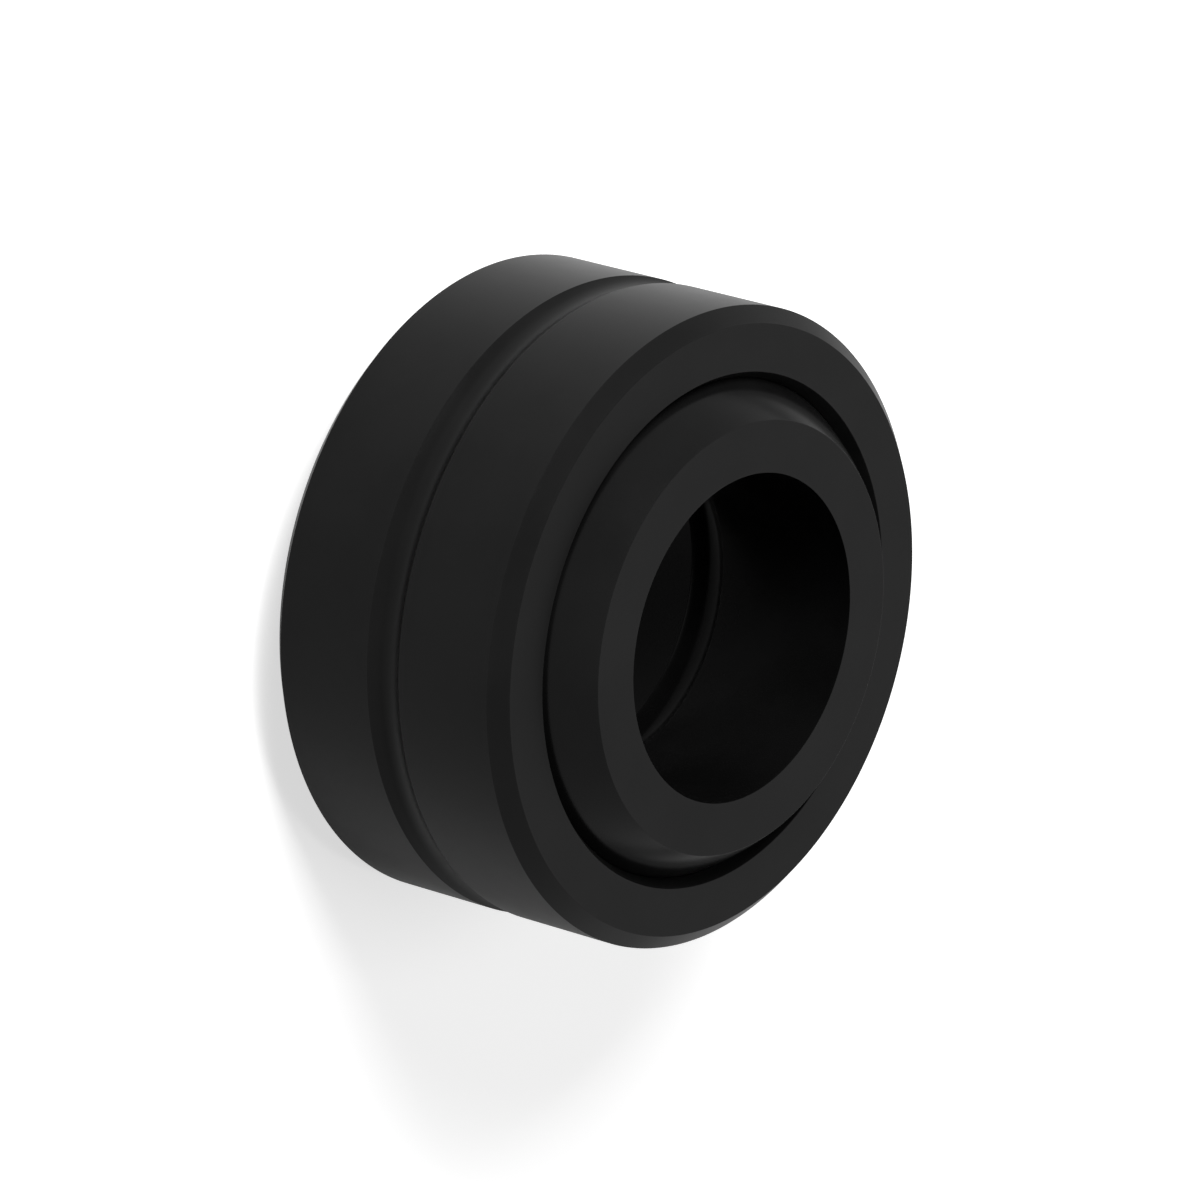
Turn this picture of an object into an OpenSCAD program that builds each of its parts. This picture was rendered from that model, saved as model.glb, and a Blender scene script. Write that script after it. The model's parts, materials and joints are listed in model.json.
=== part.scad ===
// Self-aligning bushing: a radial spherical plain bearing of two steel rings.
// The outer ring is pressed into a housing and carries a spherical raceway. The inner ring
// is a ball cut flat on both sides and bored for a shaft, and it tilts in the raceway.
// The bore axis is Z, and the origin is the centre of the ball.

/* [Inner ring] */
// Diameter of the shaft bore
bore_d = 31.75; // [29:0.05:33]
// Diameter of the ball, which is the sliding surface
ball_d = 54.74; // [53:0.01:56]
// Width of the inner ring between its end faces
inner_w = 35.3; // [33:0.1:37]

/* [Outer ring] */
// Outside diameter
outer_d = 61.92; // [60:0.02:66]
// Width of the outer ring between its faces
outer_w = 28.58; // [26:0.02:30]
// Leg of the 45 degree chamfer on both outside edges
chamfer = 1.5; // [0.6:0.05:2.2]
// Depth of the relief at each raceway edge, along the axis
lip_depth = 1.2; // [0.4:0.1:2]
// How far that relief opens out, across the axis
lip_rise = 0.76; // [0.2:0.02:1.4]
// Radial gap between the ball and the raceway
running_gap = 0.05; // [0.02:0.01:0.1]

/* [Lubrication] */
// Width of the round-bottomed groove in the bore and round the outside
groove_w = 3.9; // [3:0.1:5]
// Depth of the groove round the outside
outside_groove_depth = 0.85; // [0.4:0.05:1.3]
// Depth of the groove in the bore
bore_groove_depth = 0.65; // [0.4:0.05:1.3]
// Diameter of the oil holes that lead from the grooves to the sliding surface
oil_hole_d = 3; // [2:0.1:3]

/* [Hidden] */
$fn = 180;

blackened_steel = [0.14, 0.14, 0.14];

// The raceway is a sphere round the ball
race_r = ball_d / 2 + running_gap;

// The relief starts where its cone meets the raceway, and opens towards the face
lip_z = outer_w / 2 - lip_depth;
lip_r = sqrt(race_r * race_r - lip_z * lip_z);

// Radius of the arc that has the groove's width as its chord and the groove's depth as its rise
function arc_r(depth) = (groove_w * groove_w / 4 + depth * depth) / (2 * depth);

// How far a cutting shape runs past the face that it leaves by
overcut = 1;

// A disc of full width, chamfered on both outside edges
module outer_blank() {
    half_w = outer_w / 2;
    outer_r = outer_d / 2;
    rotate_extrude()
        polygon([
            [0, -half_w],
            [outer_r - chamfer, -half_w],
            [outer_r, chamfer - half_w],
            [outer_r, half_w - chamfer],
            [outer_r - chamfer, half_w],
            [0, half_w]
        ]);
}

// The cone that opens the raceway towards the upper face
module lip_relief() {
    open_r = lip_r + lip_rise;
    rotate_extrude()
        polygon([
            [0, lip_z],
            [lip_r, lip_z],
            [open_r, outer_w / 2],
            [open_r, outer_w / 2 + overcut],
            [0, outer_w / 2 + overcut]
        ]);
}

// A ring of round section that cuts a groove into a cylinder, from outside (side 1) or from
// inside (side -1)
module groove_cutter(cylinder_r, depth, side) {
    section_r = arc_r(depth);
    rotate_extrude()
        translate([cylinder_r + side * (section_r - depth), 0])
            circle(r = section_r);
}

// Two oil holes opposite each other, drilled in one pass along X
module oil_hole_pair() {
    rotate([0, 90, 0])
        cylinder(d = oil_hole_d, h = outer_d + 2 * overcut, center = true);
}

// Outer ring: one turned and ground ring, grooved outside and bored out as a sphere
module outer_ring() {
    color(blackened_steel)
        difference() {
            outer_blank();
            sphere(r = race_r);
            lip_relief();
            mirror([0, 0, 1])
                lip_relief();
            groove_cutter(outer_d / 2, outside_groove_depth, 1);
            oil_hole_pair();
        }
}

// Inner ring: a ball with two flat faces, a plain bore and a groove at the middle of the bore
module inner_ring() {
    color(blackened_steel)
        difference() {
            intersection() {
                sphere(d = ball_d);
                cylinder(d = ball_d, h = inner_w, center = true);
            }
            cylinder(d = bore_d, h = inner_w + 2 * overcut, center = true);
            groove_cutter(bore_d / 2, bore_groove_depth, -1);
            oil_hole_pair();
        }
}

outer_ring();
inner_ring();
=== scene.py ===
# Self-aligning bushing: a radial spherical plain bearing, put together from its two steel rings.
import json

import bpy
import numpy as np
from mathutils import Matrix, Vector


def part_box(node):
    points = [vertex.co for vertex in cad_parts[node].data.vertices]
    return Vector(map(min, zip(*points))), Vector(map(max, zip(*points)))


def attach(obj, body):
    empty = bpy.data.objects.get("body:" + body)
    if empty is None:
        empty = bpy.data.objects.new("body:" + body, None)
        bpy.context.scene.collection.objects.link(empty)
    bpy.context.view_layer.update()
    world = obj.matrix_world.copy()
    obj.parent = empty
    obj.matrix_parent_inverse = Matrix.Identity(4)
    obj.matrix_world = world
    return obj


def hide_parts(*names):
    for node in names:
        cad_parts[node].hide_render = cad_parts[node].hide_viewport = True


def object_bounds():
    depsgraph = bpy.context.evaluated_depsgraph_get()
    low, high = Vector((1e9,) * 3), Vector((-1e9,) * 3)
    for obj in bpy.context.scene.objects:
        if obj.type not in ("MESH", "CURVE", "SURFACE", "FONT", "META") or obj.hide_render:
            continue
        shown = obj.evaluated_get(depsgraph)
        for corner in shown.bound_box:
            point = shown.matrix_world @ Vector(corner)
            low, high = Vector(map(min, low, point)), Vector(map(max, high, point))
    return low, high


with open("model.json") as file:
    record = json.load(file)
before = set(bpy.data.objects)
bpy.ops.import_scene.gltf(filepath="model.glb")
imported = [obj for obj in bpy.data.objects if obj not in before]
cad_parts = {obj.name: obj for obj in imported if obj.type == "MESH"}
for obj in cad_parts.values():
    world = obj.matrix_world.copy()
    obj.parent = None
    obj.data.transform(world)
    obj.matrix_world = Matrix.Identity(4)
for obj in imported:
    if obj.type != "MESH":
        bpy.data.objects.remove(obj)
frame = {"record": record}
cad_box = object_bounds()


# Outer ring
# One ring of bearing steel, turned, hardened and ground, then blackened all over. It has a
# round-bottomed oil groove outside and a spherical raceway inside that is relieved at both
# edges. Two oil holes are drilled from the groove to the raceway. A press fit holds it in use.
MM = 0.001
outer_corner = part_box("outer_ring")[1]
outer_r = outer_corner.x
outer_half_w = outer_corner.z
chamfer = 1.5 * MM
ball_r = 27.37 * MM
running_gap = 0.05 * MM
race_r = ball_r + running_gap
lip_depth = 1.2 * MM
lip_rise = 0.76 * MM
groove_half_w = 1.95 * MM
outside_groove_depth = 0.85 * MM
oil_hole_r = 1.5 * MM
hole_rim = 0.18 * MM
broken_edge = 0.03 * MM
edge_strip = 0.015 * MM
wear_reach = 0.16 * MM
samples_on_straight = 200
samples_on_arc = 600
points_on_straight = 11
points_on_groove = 21
points_on_sphere = 35
points_on_corner = 4
turned_steps = 384
drilled_steps = 64
smooth_below = np.radians(30)


def straight(start, end):
    """The points start + (end - start) t for t from 0 to 1."""
    t = np.linspace(0, 1, samples_on_straight)[:, None]
    return np.array(start) * (1 - t) + np.array(end) * t


def arc(start, end, centre):
    """The points centre + rho (cos a, sin a), with a going the short way from start to end."""
    centre = np.array(centre)
    first, last = np.array(start) - centre, np.array(end) - centre
    rho = np.hypot(*first)
    from_angle = np.arctan2(first[1], first[0])
    turn = (np.arctan2(last[1], last[0]) - from_angle + np.pi) % (2 * np.pi) - np.pi
    a = from_angle + turn * np.linspace(0, 1, samples_on_arc)
    return centre + rho * np.stack([np.cos(a), np.sin(a)], axis=1)


def groove_arc(edge, depth, side):
    """A groove's section, from one edge to its mirror image below the middle.

    Half a width w and a depth d make an arc of radius (w^2 + d^2) / 2d. Side 1 cuts it outwards
    from a bore, and side -1 inwards from the outside.
    """
    wall_r, half_w = edge
    arc_r = (half_w**2 + depth**2) / (2 * depth)
    return arc(edge, below(edge), (wall_r + side * (depth - arc_r), 0))


def below(point):
    """The same corner in the lower half of a ring."""
    return point[0], -point[1]


def rounded_outline(sides, counts):
    """A closed outline with every corner broken, and how near each of its points is to a corner.

    A side of length L keeps the points at the distances b and L - b along it, where b is the
    broken edge's size. Between them, from b + strip on, it keeps points at (1 - cos(pi k / n)) / 2
    of the way, which lie closer together near its ends, with n from the list of counts. The corner
    K between the ends A and B of two sides becomes the curve (1 - t)^2 A + 2t(1 - t) K + t^2 B.
    Nearness is exp(-distance / reach).
    """
    t = (np.arange(1, points_on_corner) / points_on_corner)[:, None]
    cut_sides, nearness = [], []
    for side, count in zip(sides, counts):
        k = np.arange(count + 1) / count
        along = np.append(0, np.cumsum(np.hypot(*np.diff(side, axis=0).T)))
        last = along[-1]
        flat = last - 2 * (broken_edge + edge_strip)
        kept = broken_edge + edge_strip + flat * (1 - np.cos(np.pi * k)) / 2
        kept = np.concatenate([[broken_edge], kept, [last - broken_edge]])
        cut_sides.append(np.stack([np.interp(kept, along, side[:, axis]) for axis in (0, 1)], axis=1))
        nearness.append(np.exp(-np.minimum(kept, last - kept) / wear_reach))
    outline, edge = [], []
    for number, side in enumerate(cut_sides):
        corner = sides[number][-1]
        following = cut_sides[(number + 1) % len(cut_sides)][0]
        outline += [side, (1 - t) ** 2 * side[-1] + 2 * t * (1 - t) * corner + t**2 * following]
        edge += [nearness[number], np.ones(len(t))]
    return np.concatenate(outline), np.concatenate(edge)


def turned(name, outline, edge):
    """A ring: the point (r, z) of the outline at the angle a is (r cos a, r sin a, z)."""
    a = np.linspace(0, 2 * np.pi, turned_steps, endpoint=False)
    r, z = outline.T
    grid = np.stack([
        np.outer(np.cos(a), r),
        np.outer(np.sin(a), r),
        np.outer(np.ones_like(a), z),
    ], axis=2)
    index = np.arange(len(a) * len(r)).reshape(len(a), len(r))
    beside, above = np.roll(index, -1, axis=0), np.roll(index, -1, axis=1)
    quads = np.stack([index, beside, np.roll(beside, -1, axis=1), above], axis=2).reshape(-1, 4)
    mesh = bpy.data.meshes.new(name)
    mesh.from_pydata(grid.reshape(-1, 3).tolist(), [], quads.tolist())
    nearness = mesh.attributes.new("edge", "FLOAT", "POINT")
    nearness.data.foreach_set("value", np.tile(edge, len(a)))
    ring = bpy.data.objects.new(name, mesh)
    bpy.context.collection.objects.link(ring)
    return ring


def drill_oil_holes(ring, wall_start, wall_end):
    """Cuts two holes along +X and -X through the wall between two radii.

    The drill is the surface (x, rho cos a, rho sin a) with rho = hole radius + rim flare, and the
    flare grows at 45 degrees from rim inside each end of the wall, so the hole's rims are broken.
    """
    clear = 0.6 * MM
    x = np.array([
        wall_start - clear,
        wall_start,
        wall_start + hole_rim,
        wall_end - hole_rim,
        wall_end,
        wall_end + clear,
    ])
    rho = oil_hole_r + np.array([1, 1, 0, 0, 1, 1]) * hole_rim
    a = (np.arange(drilled_steps) + 0.5) * 2 * np.pi / drilled_steps
    drill = np.stack([
        np.outer(np.ones_like(a), x),
        np.outer(np.cos(a), rho),
        np.outer(np.sin(a), rho),
    ], axis=2)
    index = np.arange(drill[..., 0].size).reshape(len(a), len(x))
    beside = np.roll(index, -1, axis=0)
    sides = np.stack([index, index + 1, beside + 1, beside], axis=2)[:, :-1].reshape(-1, 4)[:, ::-1]
    faces = sides.tolist() + [index[:, 0][::-1].tolist(), index[:, -1].tolist()]
    half_turn = np.array([-1, -1, 1])
    points = drill.reshape(-1, 3)
    both_points = np.concatenate([points, points * half_turn])
    both_faces = faces + [[corner + len(points) for corner in face] for face in faces]
    cutter_mesh = bpy.data.meshes.new("oil_hole_drill")
    cutter_mesh.from_pydata(both_points.tolist(), [], both_faces)
    cutter = bpy.data.objects.new("oil_hole_drill", cutter_mesh)
    bpy.context.collection.objects.link(cutter)
    cut = ring.modifiers.new("oil_holes", "BOOLEAN")
    cut.object = cutter
    cut.solver = "EXACT"
    drilled = bpy.data.meshes.new_from_object(ring.evaluated_get(bpy.context.evaluated_depsgraph_get()))
    ring.modifiers.clear()
    ring.data = drilled
    bpy.data.objects.remove(cutter)
    drilled.polygons.foreach_set("use_smooth", np.ones(len(drilled.polygons), bool))
    drilled.set_sharp_from_angle(angle=smooth_below)


def new_group(name, inputs, outputs):
    """A shader node group with value inputs {name: default} and value outputs."""
    group = bpy.data.node_groups.new(name, "ShaderNodeTree")
    for label, default in inputs.items():
        socket = group.interface.new_socket(name=label, in_out="INPUT", socket_type="NodeSocketFloat")
        socket.default_value = default
    for label in outputs:
        group.interface.new_socket(name=label, in_out="OUTPUT", socket_type="NodeSocketFloat")
    return group, group.nodes.new("NodeGroupInput"), group.nodes.new("NodeGroupOutput")


def add(tree, kind, sources=(), **settings):
    """Adds a node, sets its properties, and fills its inputs in order; None leaves one as it is."""
    node = tree.nodes.new(kind)
    for label, value in settings.items():
        setattr(node, label, value)
    for place, source in enumerate(sources):
        if isinstance(source, bpy.types.NodeSocket):
            tree.links.new(source, node.inputs[place])
        elif source is not None:
            node.inputs[place].default_value = source
    return node


def computed(tree, operation, *values):
    """The result of a Math node's operation on one or two values."""
    return add(tree, "ShaderNodeMath", values, operation=operation).outputs[0]


def remapped(tree, value, low, high, to_low, to_high):
    """A value's range from low to high, spread over to_low to to_high and held at both ends."""
    return add(tree, "ShaderNodeMapRange", [value, low, high, to_low, to_high]).outputs[0]


def noise(tree, place, scale, detail, roughness):
    """Noise at a place: detail + 1 layers, each twice as fine and roughness times as strong."""
    return add(tree, "ShaderNodeTexNoise", [place, None, scale, detail, roughness]).outputs[0]


def grinding_marks():
    """Height of the fine lines that turning and grinding leave round the axis.

    The lines are noise of (x, y, (|z| - r) stretch), so they change quickly across the work, which
    is |z| - r on faces and lands alike, and slowly along it.
    """
    group, given, result = new_group(
        "grinding_marks", {"Lines per metre": 4000.0, "Stretch": 60.0}, ["Height"]
    )
    place = add(group, "ShaderNodeTexCoord").outputs["Object"]
    part = add(group, "ShaderNodeSeparateXYZ", [place]).outputs
    flat = add(group, "ShaderNodeCombineXYZ", [part["X"], part["Y"], 0.0]).outputs[0]
    radius = add(group, "ShaderNodeVectorMath", [flat], operation="LENGTH").outputs["Value"]
    rise = computed(group, "ABSOLUTE", part["Z"])
    across = computed(group, "SUBTRACT", rise, radius)
    stretched = computed(group, "MULTIPLY", across, given.outputs["Stretch"])
    lay = add(group, "ShaderNodeCombineXYZ", [part["X"], part["Y"], stretched]).outputs[0]
    scale = computed(group, "DIVIDE", given.outputs["Lines per metre"], given.outputs["Stretch"])
    group.links.new(noise(group, lay, scale, detail=3.0, roughness=0.6), result.inputs["Height"])
    return group


def blackening():
    """The grain and the faint clouding that a blackening bath leaves on steel."""
    group, given, result = new_group(
        "blackening", {"Grain per metre": 6000.0, "Clouds per metre": 90.0}, ["Grain", "Clouds"]
    )
    place = add(group, "ShaderNodeTexCoord").outputs["Object"]
    grain = noise(group, place, given.outputs["Grain per metre"], detail=2.0, roughness=0.6)
    clouds = noise(group, place, given.outputs["Clouds per metre"], detail=4.0, roughness=0.55)
    group.links.new(grain, result.inputs["Grain"])
    group.links.new(clouds, result.inputs["Clouds"])
    return group


def edge_rub():
    """Where handling has thinned the blackening: the broken edges, in uneven patches."""
    group, given, result = new_group(
        "edge_rub", {"Edge": 0.0, "Amount": 0.5, "Patches per metre": 700.0}, ["Mask"]
    )
    place = add(group, "ShaderNodeTexCoord").outputs["Object"]
    patches = noise(group, place, given.outputs["Patches per metre"], detail=3.0, roughness=0.6)
    uneven = remapped(group, patches, low=0.4, high=0.7, to_low=0.2, to_high=1.0)
    rubbed = computed(group, "MULTIPLY", given.outputs["Edge"], uneven)
    mask = computed(group, "MULTIPLY", rubbed, given.outputs["Amount"])
    group.links.new(mask, result.inputs["Mask"])
    return group


GRINDING_MARKS, BLACKENING, EDGE_RUB = grinding_marks(), blackening(), edge_rub()


def blackened_steel(name, roughness):
    """Blackened steel: grain and clouds in the black, ground lines under it, and rubbed edges.

    The black layer is a porous oxide, so it reflects far less than bare steel. Lines and grain
    have their heights in metres, so the bump's own distance is one metre.
    """
    black = (0.0025, 0.0025, 0.0025)
    cloudy_black = (0.004, 0.004, 0.004)
    rubbed = (0.006, 0.006, 0.006)
    line_height = 0.0009 * MM
    grain_height = 0.001 * MM
    reflection_level = 0.103
    roughness_swing = 0.03
    bump_distance = 1.0
    material = bpy.data.materials.new(name)
    material.use_nodes = True
    tree = material.node_tree
    shader = tree.nodes["Principled BSDF"]
    lines = add(tree, "ShaderNodeGroup", node_tree=GRINDING_MARKS)
    bath = add(tree, "ShaderNodeGroup", node_tree=BLACKENING)
    near_edge = add(tree, "ShaderNodeAttribute", attribute_name="edge")
    rub = add(tree, "ShaderNodeGroup", node_tree=EDGE_RUB)
    tree.links.new(near_edge.outputs["Fac"], rub.inputs["Edge"])
    clouds = bath.outputs["Clouds"]
    steel = add(tree, "ShaderNodeMix", data_type="RGBA")
    steel.inputs["A"].default_value = (*black, 1)
    steel.inputs["B"].default_value = (*cloudy_black, 1)
    cloudiness = remapped(tree, clouds, low=0.35, high=0.65, to_low=0.0, to_high=1.0)
    tree.links.new(cloudiness, steel.inputs["Factor"])
    worn = add(tree, "ShaderNodeMix", data_type="RGBA")
    worn.inputs["B"].default_value = (*rubbed, 1)
    tree.links.new(steel.outputs["Result"], worn.inputs["A"])
    tree.links.new(rub.outputs["Mask"], worn.inputs["Factor"])
    tree.links.new(worn.outputs["Result"], shader.inputs["Base Color"])
    glossiest, dullest = roughness - roughness_swing, roughness + roughness_swing
    gloss = remapped(tree, clouds, low=0.3, high=0.7, to_low=glossiest, to_high=dullest)
    tree.links.new(gloss, shader.inputs["Roughness"])
    line_part = computed(tree, "MULTIPLY", lines.outputs["Height"], line_height)
    grain_part = computed(tree, "MULTIPLY", bath.outputs["Grain"], grain_height)
    height = computed(tree, "ADD", line_part, grain_part)
    bump = add(tree, "ShaderNodeBump")
    bump.inputs["Distance"].default_value = bump_distance
    tree.links.new(height, bump.inputs["Height"])
    tree.links.new(bump.outputs["Normal"], shader.inputs["Normal"])
    shader.inputs["Specular IOR Level"].default_value = reflection_level
    return material


relief_start = (np.sqrt(race_r**2 - (outer_half_w - lip_depth) ** 2), outer_half_w - lip_depth)
relief_end = (relief_start[0] + lip_rise, outer_half_w)
face_end = (outer_r - chamfer, outer_half_w)
land_start = (outer_r, outer_half_w - chamfer)
groove_edge = (outer_r, groove_half_w)

outer_sides = [
    arc(below(relief_start), relief_start, (0, 0)),
    straight(relief_start, relief_end),
    straight(relief_end, face_end),
    straight(face_end, land_start),
    straight(land_start, groove_edge),
    groove_arc(groove_edge, outside_groove_depth, -1),
    straight(below(groove_edge), below(land_start)),
    straight(below(land_start), below(face_end)),
    straight(below(face_end), below(relief_end)),
    straight(below(relief_end), below(relief_start)),
]
outer_straights = 4 * [points_on_straight]
outer_counts = [points_on_sphere, *outer_straights, points_on_groove, *outer_straights]
outer_outline, outer_edge = rounded_outline(outer_sides, outer_counts)
outer_ring = turned("outer_ring_turned", outer_outline, outer_edge)
drill_oil_holes(outer_ring, race_r, outer_r - outside_groove_depth)
outer_ring.data.materials.append(blackened_steel("outer_ring_blackened_steel", roughness=0.32))
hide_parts("outer_ring")
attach(outer_ring, "outer_ring")


# Inner ring
# A ball of bearing steel, cut flat on both sides and bored for the shaft, blackened like the
# outer ring but with a finer finish. A round-bottomed groove at the middle of the bore feeds oil
# through two drilled holes to the ball's surface. The raceway's own curve holds the ball.
mounts = {mount["name"]: mount for mount in frame["record"]["mounts"]}
inner_half_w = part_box("inner_ring")[1].z
bore_r = mounts["bore"]["dims"]["r_mm"] * MM
bore_groove_depth = 0.65 * MM
ball_corner = (np.sqrt(ball_r**2 - inner_half_w**2), inner_half_w)
bore_corner = (bore_r, inner_half_w)
bore_groove_edge = (bore_r, groove_half_w)

inner_sides = [
    arc(below(ball_corner), ball_corner, (0, 0)),
    straight(ball_corner, bore_corner),
    straight(bore_corner, bore_groove_edge),
    groove_arc(bore_groove_edge, bore_groove_depth, 1),
    straight(below(bore_groove_edge), below(bore_corner)),
    straight(below(bore_corner), below(ball_corner)),
]
inner_straights = 2 * [points_on_straight]
inner_counts = [points_on_sphere, *inner_straights, points_on_groove, *inner_straights]
inner_outline, inner_edge = rounded_outline(inner_sides, inner_counts)
inner_ring = turned("inner_ring_turned", inner_outline, inner_edge)
drill_oil_holes(inner_ring, bore_r + bore_groove_depth, ball_r)
inner_ring.data.materials.append(blackened_steel("inner_ring_blackened_steel", roughness=0.2))
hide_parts("inner_ring")
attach(inner_ring, "inner_ring")


# Floor
# A plain pale sheet that the bearing stands on, a hundredth of a millimetre clear of its end face.
# It keeps the bearing's shadow, and to the camera it fades to white away from the bearing.
floor_half = 1.5
floor_gap = 0.01 * MM
floor_z = cad_box[0].z - floor_gap
floor_colour = (0.8, 0.8, 0.8)
mirror_lift = 0.12
camera_lift = 0.65
fade_start = 0.15
fade_end = 0.5

floor_mesh = bpy.data.meshes.new("floor")
floor_corners = [
    (-floor_half, -floor_half, floor_z),
    (floor_half, -floor_half, floor_z),
    (floor_half, floor_half, floor_z),
    (-floor_half, floor_half, floor_z),
]
floor_mesh.from_pydata(floor_corners, [], [(0, 1, 2, 3)])
floor = bpy.data.objects.new("floor", floor_mesh)
bpy.context.collection.objects.link(floor)


def seen_strength(tree, in_light, in_mirror, in_camera):
    """The strength that lighting rays, glossy and transmission rays, and camera rays see."""
    path = add(tree, "ShaderNodeLightPath").outputs
    mirror = computed(tree, "MAXIMUM", path["Is Glossy Ray"], path["Is Transmission Ray"])
    strength = remapped(tree, mirror, low=0.0, high=1.0, to_low=in_light, to_high=in_mirror)
    camera_ray = path["Is Camera Ray"]
    return remapped(tree, camera_ray, low=0.0, high=1.0, to_low=strength, to_high=in_camera)


floor_material = bpy.data.materials.new("pale_floor")
floor_material.use_nodes = True
floor_tree = floor_material.node_tree
floor_tree.nodes.clear()
paint = add(floor_tree, "ShaderNodeBsdfDiffuse", [(*floor_colour, 1)])
spot = add(floor_tree, "ShaderNodeTexCoord").outputs["Object"]
away = add(floor_tree, "ShaderNodeVectorMath", [spot], operation="LENGTH").outputs["Value"]
fade = remapped(floor_tree, away, low=fade_start, high=fade_end, to_low=camera_lift, to_high=1.0)
lift = seen_strength(floor_tree, in_light=0.0, in_mirror=mirror_lift, in_camera=fade)
glow = add(floor_tree, "ShaderNodeEmission", [(1, 1, 1, 1), lift])
both = add(floor_tree, "ShaderNodeAddShader", [paint.outputs[0], glow.outputs[0]])
add(floor_tree, "ShaderNodeOutputMaterial", [both.outputs[0]])
floor_mesh.materials.append(floor_material)


# Light
# A white room, a soft lamp at the side that the photograph is lit from, and a weaker one above.
# The steel mirrors the white room, and the lamps themselves don't show in it.
room_light = 0.05
world = bpy.data.worlds.new("white_room")
bpy.context.scene.world = world
world.use_nodes = True
room = world.node_tree
room_strength = seen_strength(room, in_light=room_light, in_mirror=1.0, in_camera=1.0)
room.links.new(room_strength, room.nodes["Background"].inputs["Strength"])
room.nodes["Background"].inputs["Color"].default_value = (1, 1, 1, 1)


def soft_lamp(name, place, size, watts):
    """A square area lamp at a place, aimed at the bearing's centre."""
    lamp = bpy.data.lights.new(name, "AREA")
    lamp.shape = "SQUARE"
    lamp.size = size
    lamp.energy = watts
    holder = bpy.data.objects.new(name, lamp)
    holder.location = place
    holder.rotation_euler = (-Vector(place)).to_track_quat("-Z", "Y").to_euler()
    holder.visible_glossy = False
    bpy.context.collection.objects.link(holder)


soft_lamp("lamp_side", place=(-0.25, -0.22, 0.25), size=0.2, watts=2.4)
soft_lamp("lamp_above", place=(-0.03, 0.0, 0.6), size=0.3, watts=0.9)


# Camera
# It stands where the photograph was taken from: 38 degrees above the end face, far off with a long
# lens, and rolled so that the bore axis points to the right of the picture.
axis_from_view = np.radians(51.9)
roll = np.radians(15.09)
distance = 0.972
frame_width_px = 1200
focal_px = 10247
sensor_mm = 36
nearest_seen = 0.05
farthest_seen = 10

bore_axis = Vector((
    np.sin(axis_from_view) * np.cos(roll),
    -np.sin(axis_from_view) * np.sin(roll),
    np.cos(axis_from_view),
))
cross_axis = Vector((-np.sin(roll), -np.cos(roll), 0))
depth_axis = bore_axis.cross(cross_axis)
to_world = Matrix((cross_axis, depth_axis, bore_axis))
camera_data = bpy.data.cameras.new("camera")
camera_data.sensor_width = sensor_mm
camera_data.lens = focal_px / frame_width_px * sensor_mm
camera_data.clip_start = nearest_seen
camera_data.clip_end = farthest_seen
camera = bpy.data.objects.new("camera", camera_data)
camera.matrix_world = Matrix.Translation(to_world @ Vector((0, 0, distance))) @ to_world.to_4x4()
bpy.context.collection.objects.link(camera)
bpy.context.scene.camera = camera
bpy.context.scene.view_settings.view_transform = "Standard"
